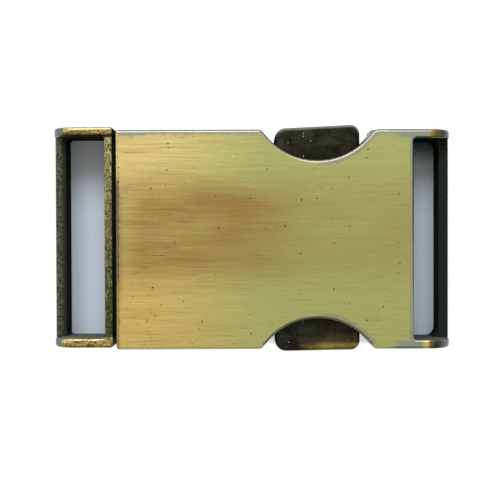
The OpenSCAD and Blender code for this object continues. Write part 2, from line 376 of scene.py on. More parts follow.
class Surface(Wiring):
    """A metal surface: patterns of real sizes on Object coordinates, in millimetres."""

    def __init__(self, name: str) -> None:
        """Starts a material with its coordinates and its normals."""
        self.material = bpy.data.materials.new(name)
        super().__init__(self.material)
        spots = self.add("TexCoord", {}, ()).node.outputs
        self.place = self.add(
            "VectorMath", {"operation": "SCALE"}, {"Vector": spots["Object"], "Scale": 1 / MM},
        )
        self.x, self.y, self.z = self.add("SeparateXYZ", {}, (self.place,)).node.outputs
        self.up = self.add("SeparateXYZ", {}, (spots["Normal"],)).node.outputs["Z"]

    def grain(
        self, size: tuple[float, float, float], low: float, high: float, detail: float = 2.0,
        shift: float = 0.0,
    ) -> bpy.types.NodeSocket:
        """A random pattern, from 0 to 1, whose spots have a real size.

        Args:
            size: The spots' size in millimetres along X, Y and Z.
            low: The noise level that becomes 0.
            high: The noise level that becomes 1.
            detail: How much finer the finest spots are, in octaves.
            shift: Where in the noise the pattern lies, so that two patterns differ.

        Returns:
            The pattern.
        """
        scaled = self.add(
            "Mapping", {},
            {"Vector": self.place, "Location": (shift, shift, shift), "Scale": tuple(1 / s for s in size)},
        )
        noise = self.add("TexNoise", {}, {"Vector": scaled, "Scale": 1.0, "Detail": detail})
        return self.add("MapRange", SMOOTH, (noise, low, high))

    def specks(
        self, cell: float, radius: float, share: float, shift: float = 0.0, flat: bool = False,
    ) -> bpy.types.NodeSocket:
        """Scattered round specks of mixed sizes, 1 inside and 0 outside.

        Args:
            cell: Their mean distance in millimetres, were there one in every cell.
            radius: The largest speck's radius in millimetres.
            share: The share of the cells that have a speck.
            shift: Where in the pattern they lie.
            flat: Whether they lie on one level face, and not all round the piece.

        Returns:
            The pattern.
        """
        scaled = self.add("Mapping", {}, {
            "Vector": self.place, "Location": (shift, shift, shift), "Scale": (1 / cell, 1 / cell, 1 / cell),
        })
        far = self.add(
            "TexVoronoi", {"voronoi_dimensions": "2D" if flat else "3D"}, {"Vector": scaled, "Scale": 1.0},
        )
        chance = self.add("SeparateXYZ", {}, (far.node.outputs["Color"],))
        reach = self.add("MapRange", {}, (chance, 1 - share, 1.0, 0.0, radius / cell))
        inside = self.add("Math", MINUS, (reach, far))
        return self.add("MapRange", SMOOTH, (inside, 0.0, 0.35 * radius / cell))

    def band(
        self, value: Link, start: float, full: float, fall: float, end: float,
    ) -> bpy.types.NodeSocket:
        """A level that rises to 1 and falls back to 0.

        Args:
            value: What drives it.
            start: The value where it starts to rise.
            full: The value where it is 1.
            fall: The value where it starts to fall.
            end: The value where it is 0 again.

        Returns:
            The level.
        """
        rise = self.add("MapRange", SMOOTH, (value, start, full))
        return self.add("Math", TIMES, (rise, self.add("MapRange", SMOOTH, (value, end, fall))))

    def plated(
        self, colour: Link, roughness: Link, dull: Link, height: Link, depth: float,
    ) -> bpy.types.Material:
        """Finishes the surface as metal, with a dull black layer of the bath on parts of it.

        Args:
            colour: The base colour.
            roughness: The roughness.
            dull: How much of the bath's layer lies on the metal.
            height: The relief, from -1 to 1 at most.
            depth: The relief's depth in millimetres.

        Returns:
            The material.
        """
        bump = self.add("Bump", {}, {"Strength": 1.0, "Distance": depth * MM, "Height": height})
        bare = self.add("Math", MINUS, (1.0, dull))
        shader = self.add("BsdfPrincipled", {}, {
            "Base Color": colour, "Metallic": bare, "Roughness": roughness, "Specular IOR Level": 0.0,
            "Normal": bump,
        })
        self.add("OutputMaterial", {}, (shader,))
        return self.material


@dataclass(frozen=True)
class BrushedAntiqueBrass:
    """Antique brass plating on a zinc casting, its flat top brushed along the buckle after the dark bath.

    The brush bares bright brass in fine lines, and leaves the bath's brown in pits and scratches; a brown cloud
    lies over the top's middle, and the top goes from gold at the mouth to olive towards the strap slot, partly
    its tone and partly a painted reflection. The rims are pale grey on side A and yellow brass on side B,
    partly worn metal and partly painted reflection; near the strap slot they take painted reflections in dusk
    and teal, and the arms' rolled ends carry painted reflections too. The slots keep a dull black.
    """

    gold: str = "#E6CE88"
    amber: str = "#DFC076"
    olive: str = "#B7B974"
    brown: str = "#A6874A"
    pit: str = "#3C3014"
    worn: str = "#A0A090"
    beige: str = "#B5A672"
    rim: str = "#8F8873"
    dusk: str = "#74736A"
    teal: str = "#879583"
    yellow: str = "#F6E7A2"
    moss: str = "#868567"
    pale: str = "#B8AE88"
    side: str = "#6E6445"
    cream: str = "#D9CB8E"
    taupe: str = "#85765F"
    straw: str = "#A99A56"
    rust: str = "#3E2218"
    patch: str = "#A5854A"
    glow: str = "#E2C77E"
    umber: str = "#77603A"
    shade: str = "#464744"
    grey: str = "#5C5E5A"
    black: str = "#272A24"
    ash: str = "#565852"

    def make(self) -> bpy.types.Material:
        """Builds the material."""
        net = Surface("brushed_antique_brass")
        off_y = net.add("Math", UNSIGNED, (net.y,))
        # The borders between brushed, worn and dark places wander by a tenth of a millimetre.
        fray = net.add("MapRange", {}, (net.grain((0.7, 0.7, 0.7), 0.3, 0.7), 0.0, 1.0, -0.1, 0.1))
        top, relief = self.top(net)
        amount, border = self.border(net, off_y, fray)
        top = net.add("Mix", COLOUR, (amount, top, border))
        level = net.add("MapRange", SMOOTH, (net.up, 0.985, 0.998))
        flat = net.add("Math", TIMES, (level, net.add("MapRange", SMOOTH, (net.z, 7.4, 7.7))))
        colour = net.add("Mix", COLOUR, (flat, self.edge(net), top))
        colour = self.mouth(net, fray, colour)
        # Painted reflections on the arms' rolled ends.
        colour = self.ends(net, off_y, fray, colour)
        dull = self.dull(net, off_y)
        # Partly wear and partly painted light: the bath is lighter on side B's slot walls, which face the lamp.
        rubbed_and_sheen = net.add("MapRange", SMOOTH, (net.y, -13.3, -13.38))
        bath = net.add("Mix", COLOUR, (rubbed_and_sheen, tint(self.black), tint(self.ash)))
        bath = net.add("Mix", COLOUR, (net.specks(0.9, 0.09, 0.35, shift=8), bath, tint(self.worn)))
        colour = net.add("Mix", COLOUR, (dull, colour, bath))
        roughness = net.add("MapRange", {}, (net.grain((5, 0.2, 5), 0.3, 0.7), 0.0, 1.0, 0.33, 0.4))
        return net.plated(colour, roughness, dull, net.add("Math", TIMES, (relief, flat)), 0.03)

    def top(self, net: Surface) -> tuple[bpy.types.NodeSocket, bpy.types.NodeSocket]:
        """The brushed top's colour and relief.

        Args:
            net: The surface's nodes.

        Returns:
            The colour, and the relief from -1 to 1.
        """
        # Partly the plating's tone and partly a painted reflection: the top goes from gold at the mouth end to
        # olive towards the strap slot.
        left = net.add("MapRange", SMOOTH, (net.x, 5.0, -16.0))
        bright = net.add("Mix", COLOUR, (
            net.add("MapRange", SMOOTH, (net.y, 2.0, -9.0)), tint(self.gold), tint(self.amber),
        ))
        colour = net.add("Mix", COLOUR, (left, tint(self.olive), bright))
        off_middle = net.add("Math", UNSIGNED, (net.add("Math", MINUS, (net.y, 1.3)),))
        cloud = net.add("Math", TIMES, (
            net.add("MapRange", SMOOTH, (off_middle, 9.5, 3.0)),
            net.add("MapRange", SMOOTH, (net.x, -3.0, 10.0, 1.0, 0.4)),
        ))
        cloud = net.add("Math", TIMES, (cloud, net.add("MapRange", SMOOTH, (net.x, -14.0, -17.5, 1.0, 0.65))))
        uneven = net.add("MapRange", {}, (net.grain((10, 3, 10), 0.3, 0.7, detail=3), 0.0, 1.0, 0.7, 1.0))
        colour = net.add("Mix", COLOUR, (net.add("Math", TIMES, (cloud, uneven)), colour, tint(self.brown)))
        # The brush's lines are some 20 micrometres wide, and drawn six times as wide so that they show.
        lines = net.grain((6, 0.12, 6), 0.3, 0.7)
        broad = net.grain((9, 0.5, 9), 0.3, 0.7, shift=7)
        strength = net.add("MapRange", {}, (left, 0.0, 1.0, 0.35, 0.9))
        mixed = net.add("Math", {"operation": "MULTIPLY_ADD"}, (lines, 1.4, broad))
        tone = net.add("Math", {"operation": "MULTIPLY_ADD"}, (mixed, 0.13, -0.156))
        tone = net.add("Math", {"operation": "MULTIPLY_ADD"}, (tone, strength, 1.0))
        colour = net.add("VectorMath", {"operation": "SCALE"}, {"Vector": colour, "Scale": tone})
        streaks = net.add("Math", LARGER, (
            net.grain((5, 0.14, 5), 0.6, 0.72, shift=3), net.grain((1.1, 0.13, 1.1), 0.64, 0.74, shift=21),
        ))
        streaks = net.add("Math", TIMES, (net.add("Math", TIMES, (streaks, strength)), 0.55))
        colour = net.add("Mix", COLOUR, (streaks, colour, tint(self.umber)))
        bared = net.grain((3.5, 0.13, 3.5), 0.62, 0.76, shift=25)
        bared = net.add("Math", TIMES, (net.add("Math", TIMES, (bared, strength)), 0.5))
        colour = net.add("Mix", COLOUR, (bared, colour, tint(self.gold)))
        pits = net.specks(2.2, 0.16, 0.5, flat=True)
        marks = net.add("Math", LARGER, (pits, self.scratches(net, strength)))
        colour = net.add("Mix", COLOUR, (net.add("Math", TIMES, (marks, 0.75)), colour, tint(self.pit)))
        sunk = net.add("Math", MINUS, (0.0, marks))
        return colour, net.add("Math", {"operation": "MULTIPLY_ADD"}, (lines, 0.08, sunk))

    def scratches(self, net: Surface, strength: bpy.types.NodeSocket) -> bpy.types.NodeSocket:
        """Fine pits and curled scratches, most of them where the top is brightest.

        Args:
            net: The surface's nodes.
            strength: How much of them there is.

        Returns:
            The marks, 1 where the bath's colour is left.
        """
        dots = net.specks(1.1, 0.1, 0.35, shift=5, flat=True)
        wave = net.add("Math", MINUS, (net.grain((0.9, 0.5, 0.9), 0.0, 1.0, shift=11), 0.5))
        curl = net.add("MapRange", SMOOTH, (net.add("Math", UNSIGNED, (wave,)), 0.05, 0.02))
        curl = net.add("Math", TIMES, (curl, net.grain((3, 2, 3), 0.62, 0.7, shift=15)))
        curl = net.add("Math", TIMES, (curl, 0.6))
        return net.add("Math", TIMES, (net.add("Math", LARGER, (dots, curl)), strength))

    def border(
        self, net: Surface, off_y: bpy.types.NodeSocket, fray: bpy.types.NodeSocket,
    ) -> tuple[bpy.types.NodeSocket, bpy.types.NodeSocket]:
        """The worn borders of the flat top: along side A, beside the strap slot and on the arms.

        Args:
            net: The surface's nodes.
            off_y: The distance from the middle plane.
            fray: How far the borders wander.

        Returns:
            How much of the top is worn, and the colour there.
        """
        near_slot = net.add("MapRange", SMOOTH, (net.add("Math", PLUS, (net.x, fray)), 20.8, 21.05))
        frayed = net.add("Math", PLUS, (off_y, fray))
        arms = net.add("Math", TIMES, (
            net.add("MapRange", SMOOTH, (frayed, 13.3, 13.6)),
            net.add("MapRange", SMOOTH, (net.x, 18.3, 20.3)),
        ))
        start = net.add("MapRange", SMOOTH, (net.x, -15.0, -13.5, 0.2, 0.0))
        side_a = net.add("Math", PLUS, (net.add("Math", PLUS, (net.y, fray)), start))
        side_a = net.add("MapRange", SMOOTH, (side_a, 13.7, 14.15))
        # The notches are worn on their halves towards the strap slot, up to 0.4 mm from the rim.
        spot = net.add("CombineXYZ", {}, (net.x, off_y, 0.0))
        notch = net.add("VectorMath", {"operation": "DISTANCE"}, (spot, (8.74, 19.33, 0.0)))
        notch = net.add("MapRange", SMOOTH, (net.add("Math", PLUS, (notch, fray)), 9.62, 9.5))
        notch = net.add("Math", TIMES, (notch, net.add("MapRange", SMOOTH, (net.x, 8.0, 10.5, 0.0, 0.85))))
        amount = net.add("Math", LARGER, (near_slot, net.add("Math", LARGER, (arms, notch))))
        amount = net.add("Math", LARGER, (amount, side_a))
        warm = net.add("Math", TIMES, (net.band(net.y, -9.0, -7.0, 10.3, 11.8), near_slot))
        colour = net.add("Mix", COLOUR, (warm, tint(self.worn), tint(self.beige)))
        dots = net.add("Math", TIMES, (net.specks(0.7, 0.13, 0.5, shift=13), 0.8))
        return amount, net.add("Mix", COLOUR, (dots, colour, tint(self.pit)))

    def edge(self, net: Surface) -> bpy.types.NodeSocket:
        """The colour of the rounded rims and the sides, the rims partly worn metal and partly painted
        reflection.

        Args:
            net: The surface's nodes.

        Returns:
            The colour.
        """
        # Painted reflections: near the strap slot the rims turn dusk on side A, teal on side B's long edge and
        # pale on side B's slot edge; elsewhere the rims' colours by side are partly worn metal and partly
        # painted reflection.
        far = net.add("MapRange", SMOOTH, (net.x, 17.5, 19.5))
        long_b = net.add("MapRange", SMOOTH, (net.y, -13.85, -14.1))
        crest_a = net.add("Mix", COLOUR, (far, tint(self.rim), tint(self.dusk)))
        near_b = net.add("Mix", COLOUR, (long_b, tint(self.moss), tint(self.yellow)))
        far_b = net.add("Mix", COLOUR, (long_b, tint(self.pale), tint(self.teal)))
        crest_b = net.add("Mix", COLOUR, (far, near_b, far_b))
        crest = net.add("Mix", COLOUR, (net.add("MapRange", SMOOTH, (net.y, 1.0, -1.0)), crest_a, crest_b))
        yellow = net.add("Math", TIMES, (long_b, net.add("Math", MINUS, (1.0, far))))
        inner = net.add("Mix", COLOUR, (yellow, tint(self.worn), tint(self.yellow)))
        crest = net.add("Mix", COLOUR, (net.add("MapRange", SMOOTH, (net.up, 0.97, 0.93)), inner, crest))
        speckle = net.add("Math", TIMES, (net.grain((0.4, 0.4, 0.4), 0.3, 0.7), 0.5))
        side = net.add("Mix", COLOUR, (speckle, tint(self.side), tint(self.moss)))
        return net.add("Mix", COLOUR, (net.add("MapRange", SMOOTH, (net.up, 0.6, 0.75)), side, crest))

    def mouth(
        self, net: Surface, fray: bpy.types.NodeSocket, colour: bpy.types.NodeSocket,
    ) -> bpy.types.NodeSocket:
        """Lays the border beside the mouth, worn metal with a painted highlight, and the dark that fades out
        from it, over a colour.

        Args:
            net: The surface's nodes.
            fray: How far the border wanders.
            colour: The colour below.

        Returns:
            The colour.
        """
        fade = net.add("Math", TIMES, (
            net.add("MapRange", SMOOTH, (net.x, -16.8, -17.8)), net.band(net.y, -10.0, -6.0, 5.0, 8.0),
        ))
        colour = net.add("Mix", COLOUR, (net.add("Math", TIMES, (fade, 0.5)), colour, tint(self.taupe)))
        # Painted highlight on worn metal: the border is cream towards side A, taupe in the middle and straw
        # towards side B.
        border = net.add("Mix", COLOUR, (
            net.add("MapRange", SMOOTH, (net.y, 7.2, 9.0)), tint(self.taupe), tint(self.cream),
        ))
        border = net.add("Mix", COLOUR, (
            net.add("MapRange", SMOOTH, (net.y, -4.8, -7.0)), border, tint(self.straw),
        ))
        dots = net.add("Math", TIMES, (net.specks(0.42, 0.14, 0.75, shift=9, flat=True), 0.85))
        border = net.add("Mix", COLOUR, (dots, border, tint(self.rust)))
        amount = net.add("MapRange", SMOOTH, (net.add("Math", PLUS, (net.x, fray)), -17.5, -17.7))
        amount = net.add("Math", TIMES, (amount, net.add("MapRange", SMOOTH, (net.up, 0.2, 0.5))))
        return net.add("Mix", COLOUR, (amount, colour, border))

    def ends(
        self, net: Surface, off_y: bpy.types.NodeSocket, fray: bpy.types.NodeSocket,
        colour: bpy.types.NodeSocket,
    ) -> bpy.types.NodeSocket:
        """Lays painted reflections over a colour: golden patches on the arms, then their dark and grey rolled
        ends.

        Args:
            net: The surface's nodes.
            off_y: The distance from the middle plane.
            fray: How far the borders wander.
            colour: The colour below.

        Returns:
            The colour.
        """
        # The painted reflection's patch on side B lies 0.8 mm nearer to the plate than that of side A.
        nearer = net.add("MapRange", SMOOTH, (net.y, 5.0, -5.0, 0.0, 0.8))
        along = net.add("Math", PLUS, (net.add("Math", PLUS, (net.x, nearer)), fray))
        arms = net.add("Math", TIMES, (
            net.band(off_y, 13.42, 13.5, 14.54, 14.59), net.add("MapRange", SMOOTH, (net.z, 3.0, 4.9)),
        ))
        patch = net.add("Mix", COLOUR, (
            net.add("MapRange", SMOOTH, (net.y, 5.0, -5.0)), tint(self.patch), tint(self.glow),
        ))
        # Painted reflections along the rolled ends: a golden patch, then umber, shade and grey.
        steps = ((23.3, patch), (24.0, tint(self.umber)), (24.7, tint(self.shade)), (25.7, tint(self.grey)))
        for start, shade in steps:
            step = net.add("MapRange", SMOOTH, (along, start, start + 0.5))
            colour = net.add("Mix", COLOUR, (net.add("Math", TIMES, (step, arms)), colour, shade))
        return colour

    def dull(self, net: Surface, off_y: bpy.types.NodeSocket) -> bpy.types.NodeSocket:
        """Where the bath's dull black layer is left: in the slot, on its bar, in the mouth and the cavity.

        Args:
            net: The surface's nodes.
            off_y: The distance from the middle plane.

        Returns:
            The amount of it.
        """
        rim = net.add("MapRange", SMOOTH, (net.y, -10.0, -4.0, 0.8, 0.93))
        wall = net.add("MapRange", SMOOTH, (net.x, 21.52, 21.67, rim, 0.45))
        steep = net.add("MapRange", SMOOTH, (net.add("Math", MINUS, (wall, net.up)), 0.0, 0.12))
        low = net.add("MapRange", SMOOTH, (net.z, 5.2, 4.9))
        slot = net.add("Math", TIMES, (
            net.add("MapRange", SMOOTH, (net.x, 21.25, 21.32)),
            net.add("MapRange", SMOOTH, (off_y, 13.55, 13.47)),
        ))
        slot = net.add("Math", TIMES, (slot, net.add("Math", LARGER, (steep, low))))
        cavity = net.add("Math", TIMES, (
            net.band(net.z, 1.05, 1.15, 6.55, 6.65), net.band(off_y, -1, 0, 13.15, 13.2),
        ))
        cavity = net.add("Math", TIMES, (cavity, net.add("MapRange", SMOOTH, (net.x, 25.6, 25.4))))
        mouth = net.add("Math", TIMES, (
            net.add("MapRange", SMOOTH, (net.x, -17.95, -18.05)),
            net.add("MapRange", SMOOTH, (net.up, 0.5, 0.3)),
        ))
        return net.add("Math", LARGER, (net.add("Math", LARGER, (slot, cavity)), mouth))


@dataclass(frozen=True)
class CastAntiqueBrass:
    """Antique brass plating on a cast and tumbled zinc plug.

    The tumbling leaves a speckled, golden wear on the highs and a dull black where nothing rubs. The edges that
    face side A carry a painted highlight on worn brass, side A's arm a painted shade along its inner half, and
    the arms' rolled -X ends a painted grey reflection on worn metal; the flange is a darker olive towards side
    B.
    """

    gold: str = "#BD9F58"
    straw: str = "#D9BA72"
    olive: str = "#A59F66"
    moss: str = "#5C5E3A"
    bright: str = "#D8CFA0"
    # The colour of the worn edges and of the painted highlights on them.
    rubbed_and_sheen: str = "#D9CD9A"
    dark: str = "#211E12"
    sunk: str = "#62664F"
    worn: str = "#60625C"
    black: str = "#2C2F27"
    ash: str = "#706C61"

    def make(self) -> bpy.types.Material:
        """Builds the material."""
        net = Surface("cast_antique_brass")
        across = net.add("Math", MINUS, (net.y, 0.3))
        off_y = net.add("Math", UNSIGNED, (across,))
        speckle = net.grain((0.3, 0.3, 0.3), 0.35, 0.65)
        arm = net.add("MapRange", SMOOTH, (off_y, 13.1, 13.5))
        flange = net.add("Mix", COLOUR, (
            net.add("MapRange", SMOOTH, (across, 12.0, -12.0)), tint(self.olive), tint(self.moss),
        ))
        arms = net.add("Mix", COLOUR, (
            net.add("MapRange", SMOOTH, (across, 12.0, -12.0)), tint(self.gold), tint(self.straw),
        ))
        colour = net.add("Mix", COLOUR, (arm, flange, arms))
        shade = net.add("MapRange", {}, (speckle, 0.0, 1.0, 0.3, 1.0))
        colour = net.add("Mix", COLOUR, (shade, tint(self.dark), colour))
        patches = net.add("Math", TIMES, (net.grain((1.6, 0.5, 1.6), 0.52, 0.66, shift=4), 0.6))
        colour = net.add("Mix", COLOUR, (patches, colour, tint(self.dark)))
        # Painted highlight on worn brass: side A's arm lightens towards its outer edge.
        outer = net.add("MapRange", SMOOTH, (across, 13.85, 14.5, 0.0, 0.2))
        colour = net.add("Mix", COLOUR, (outer, colour, tint(self.rubbed_and_sheen)))
        # Painted shade: side A's arm darkens along its inner half.
        inner = net.add("Math", TIMES, (net.band(across, 13.2, 13.4, 13.6, 13.95), 0.9))
        colour = net.add("Mix", COLOUR, (inner, colour, tint(self.dark)))
        streaks = net.add("Math", TIMES, (
            net.grain((0.16, 0.8, 0.5), 0.56, 0.66, shift=6),
            net.add("MapRange", {}, (across, -12.0, 10.0, 0.2, 0.75)),
        ))
        streaks = net.add("Math", TIMES, (streaks, net.add("Math", MINUS, (1.0, arm))))
        colour = net.add("Mix", COLOUR, (streaks, colour, tint(self.bright)))
        # Painted highlights on worn brass, on the edges that face side A: the outer edge of that side's arm,
        # and the inner one of the other.
        highlight_rims = net.add("Math", UNSIGNED, (net.add("Math", MINUS, (across, 0.45)),))
        highlight_rims = net.add("Math", TIMES, (net.band(highlight_rims, 13.5, 13.8, 14.3, 14.55), arm))
        edges = net.add("Math", TIMES, (net.band(net.up, 0.6, 0.8, 0.96, 0.99), highlight_rims))
        edges = net.add("Math", TIMES, (edges, net.add("MapRange", {}, (speckle, 0.0, 1.0, 0.35, 1.0))))
        colour = net.add("Mix", COLOUR, (edges, colour, tint(self.rubbed_and_sheen)))
        low = net.add("Mix", COLOUR, (shade, tint(self.dark), tint(self.sunk)))
        colour = net.add("Mix", COLOUR, (net.add("MapRange", SMOOTH, (net.up, 0.6, 0.3)), colour, low))
        # Painted reflection on worn metal: the arms' rolled -X ends turn grey.
        fray = net.add("MapRange", {}, (net.grain((0.7, 0.7, 0.7), 0.3, 0.7), 0.0, 1.0, -0.25, 0.25))
        end = net.add("MapRange", SMOOTH, (net.add("Math", PLUS, (net.x, fray)), -24.9, -25.5))
        end = net.add("Math", TIMES, (end, net.band(off_y, 13.3, 13.4, 14.54, 14.67)))
        end = net.add("Math", TIMES, (end, net.add("MapRange", SMOOTH, (net.z, 3.0, 4.9))))
        colour = net.add("Mix", COLOUR, (end, colour, tint(self.worn)))
        bar = net.add("MapRange", SMOOTH, (net.z, 5.4, 5.0))
        inside = net.add("MapRange", SMOOTH, (off_y, 13.5, 13.42))
        colour = net.add("Mix", COLOUR, (net.add("Math", TIMES, (bar, inside)), colour, low))
        dull = self.dull(net, off_y, bar)
        # Partly wear and partly painted light: the bath is lighter on side B's slot walls, which face the lamp.
        rubbed_and_sheen = net.add("MapRange", SMOOTH, (across, -13.3, -13.38))
        bath = net.add("Mix", COLOUR, (rubbed_and_sheen, tint(self.black), tint(self.ash)))
        return net.plated(net.add("Mix", COLOUR, (dull, colour, bath)), 0.37, dull, speckle, 0.015)

    def dull(
        self, net: Surface, off_y: bpy.types.NodeSocket, bar: bpy.types.NodeSocket,
    ) -> bpy.types.NodeSocket:
        """Where the bath's dull black layer is left: in the slot, on the bar's inner half and on the tongue.

        Args:
            net: The surface's nodes.
            off_y: The distance from the plug's middle plane.
            bar: How much a place lies as low as the bar.

        Returns:
            The amount of it.
        """
        steep = net.add("MapRange", SMOOTH, (net.up, 0.55, 0.4))
        inside = net.add("Math", TIMES, (steep, net.add("MapRange", SMOOTH, (off_y, 13.6, 13.5))))
        inside = net.add("Math", TIMES, (inside, net.add("MapRange", SMOOTH, (net.x, -25.8, -25.6))))
        inner_bar = net.add("Math", TIMES, (bar, net.band(net.x, -25.95, -25.35, 0, 1)))
        inner_bar = net.add("Math", TIMES, (inner_bar, net.add("MapRange", SMOOTH, (off_y, 13.45, 13.38))))
        joint = net.add("Math", TIMES, (steep, net.add("MapRange", SMOOTH, (net.x, -18.75, -18.6))))
        tongue = net.add("Math", LARGER, (joint, net.add("MapRange", SMOOTH, (net.x, -18.54, -18.5))))
        return net.add("Math", LARGER, (net.add("Math", LARGER, (inside, inner_bar)), tongue))


@dataclass(frozen=True)
class BlackenedBrass:
    """Brass plating left almost black by the bath, worn back to the metal where a finger slides off, with
    painted highlights.
    """

    black: str = "#201F19"
    haze: str = "#474639"
    brass: str = "#C4A955"
    rust: str = "#6B5136"
    rim: str = "#7A7868"
    speck: str = "#E8E2C4"

    def make(self) -> bpy.types.Material:
        """Builds the material."""
        net = Surface("blackened_brass")
        cloud = net.grain((1.8, 1.2, 1.8), 0.3, 0.7, detail=4)
        haze = net.add("Math", TIMES, (cloud, net.add("MapRange", SMOOTH, (net.x, 3.0, 9.0, 0.65, 0.6))))
        off_y = net.add("Math", UNSIGNED, (net.y,))
        # Painted shadow: the haze fades towards the pad's inner part, under the top plate's edge.
        haze = net.add("Math", TIMES, (haze, net.add("MapRange", SMOOTH, (off_y, 11.0, 12.6, 0.2, 1.0))))
        colour = net.add("Mix", COLOUR, (haze, tint(self.black), tint(self.haze)))
        # Painted highlight on worn metal: side A's pad rim.
        rubbed_and_sheen = net.add("Math", TIMES, (
            net.add("MapRange", SMOOTH, (net.y, 13.6, 14.6)), net.band(net.up, 0.25, 0.5, 0.8, 0.97),
        ))
        colour = net.add("Mix", COLOUR, (rubbed_and_sheen, colour, tint(self.rim)))
        # Painted highlight on worn metal: brass and rust along side B's pad rim towards the nose.
        glow = net.add("Math", TIMES, (
            net.add("MapRange", SMOOTH, (net.y, -12.3, -14.2)),
            net.add("MapRange", SMOOTH, (net.x, 5.5, 11.5)),
        ))
        glow = net.add("Math", TIMES, (glow, net.add("MapRange", SMOOTH, (net.up, 0.1, 0.3))))
        glow = net.add("Math", TIMES, (glow, net.add("MapRange", {}, (cloud, 0.0, 1.0, 0.4, 0.8))))
        warm = net.add("Mix", COLOUR, (
            net.add("MapRange", SMOOTH, (net.y, -13.6, -14.3)), tint(self.rust), tint(self.brass),
        ))
        colour = net.add("Mix", COLOUR, (glow, colour, warm))
        specks = net.specks(1.0, 0.1, 0.4, shift=2, flat=True)
        specks = net.add("Math", TIMES, (specks, net.add("MapRange", SMOOTH, (net.up, 0.9, 0.97))))
        colour = net.add("Mix", COLOUR, (specks, colour, tint(self.speck)))
        return net.plated(colour, 0.42, 0.0, cloud, 0.01)


@dataclass(frozen=True)
class DrawnSteel:
    """Plain drawn steel wire and rod, smooth with faint length-wise lines."""

    steel: str = "#C4C5C6"
    pale: str = "#8E8F90"

    def make(self) -> bpy.types.Material:
        """Builds the material."""
        net = Surface("drawn_steel")
        lines = net.grain((0.3, 0.3, 1.5), 0.3, 0.7)
        colour = net.add("Mix", COLOUR, (lines, tint(self.pale), tint(self.steel)))
        return net.plated(colour, 0.3, 0.0, lines, 0.002)


# The buckle's sizes and the dressing of its pieces


@dataclass(frozen=True)
class Layout:
    """The sizes that the pieces share, in millimetres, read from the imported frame."""

    height: float
    half_w: float
    plug_half_w: float
    plug_end_x: float
    plug_tip_x: float
    mouth_x: float
    socket_end_x: float
    plug_low_z: float
    plug_y: float
    pin_x: float
    pin_y: float
    pin_r: float
    pin_l: float
    mid_z: float
    spring_x: float
    spring_r: float
    spring_near: float
    spring_far: float
    nose_x: float
    pad_z: tuple[float, float]
    pad_outer: dict[Side, float]

    @classmethod
    def from_frame(cls) -> "Layout":
        """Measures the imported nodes."""
        names = (
            "socket_housing", "plug_frame", "pivot_pin_a", "lever_spring_a", "release_lever_a",
            "release_lever_b",
        )
        boxes = {name: tuple(Vector(corner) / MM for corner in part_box(name)) for name in names}
        housing_low, housing_high = boxes["socket_housing"]
        plug_low, plug_high = boxes["plug_frame"]
        pin_low, pin_high = boxes["pivot_pin_a"]
        spring_low, spring_high = boxes["lever_spring_a"]
        lever_low, lever_high = boxes["release_lever_a"]
        other_low, _ = boxes["release_lever_b"]
        plug_y = (plug_low.y + plug_high.y) / 2
        return cls(
            height=housing_high.z,
            half_w=housing_high.y,
            plug_half_w=(plug_high.y - plug_low.y) / 2,
            plug_end_x=plug_low.x,
            plug_tip_x=plug_high.x,
            mouth_x=housing_low.x,
            socket_end_x=housing_high.x,
            plug_low_z=plug_low.z,
            plug_y=plug_y,
            pin_x=(pin_low.x + pin_high.x) / 2,
            pin_y=(pin_low.y + pin_high.y) / 2 - plug_y,
            pin_r=(pin_high.x - pin_low.x) / 2,
            pin_l=pin_high.z - pin_low.z,
            mid_z=(pin_low.z + pin_high.z) / 2,
            spring_x=(spring_low.x + spring_high.x) / 2,
            spring_r=(spring_high.x - spring_low.x) / 2,
            spring_near=spring_low.y - plug_y,
            spring_far=spring_high.y - plug_y,
            nose_x=lever_high.x,
            pad_z=(lever_low.z, lever_high.z),
            pad_outer={Side.A: lever_high.y - plug_y, Side.B: plug_y - other_low.y},
        )


@dataclass(frozen=True)
class Walls:
    """Sizes of the walls that the plug and the socket share, in millimetres."""

    top: float = 1.3
    floor: float = 1.2
    side: float = 1.5
    end: float = 1.5
    slot_half: float = 13.4
    bar_height: float = 4.5
    roll: float = 3.0
    foot: float = 0.8
    flange: float = 1.06
    mouth_gap: float = 0.43
    tongue_gap: float = 0.25
    corner_a: float = 0.25
    corner_b: float = 0.4

    def corners(self, half: float) -> list[Softening]:
        """The radii of a casting's upright corners, sharper on side A than on side B.

        Args:
            half: Half of the casting's width.

        Returns:
            The rules, side A's first.
        """
        return [
            Softening(self.corner_a, lambda e: e.along(Axis.Z) and e.middle.y > half - TOUCH),
            Softening(self.corner_b, lambda e: e.along(Axis.Z) and e.middle.y < TOUCH - half),
        ]


@dataclass(frozen=True)
class Place:
    """Where a piece belongs: its body, the record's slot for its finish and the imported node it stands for."""

    body: str
    slot: str
    node: str


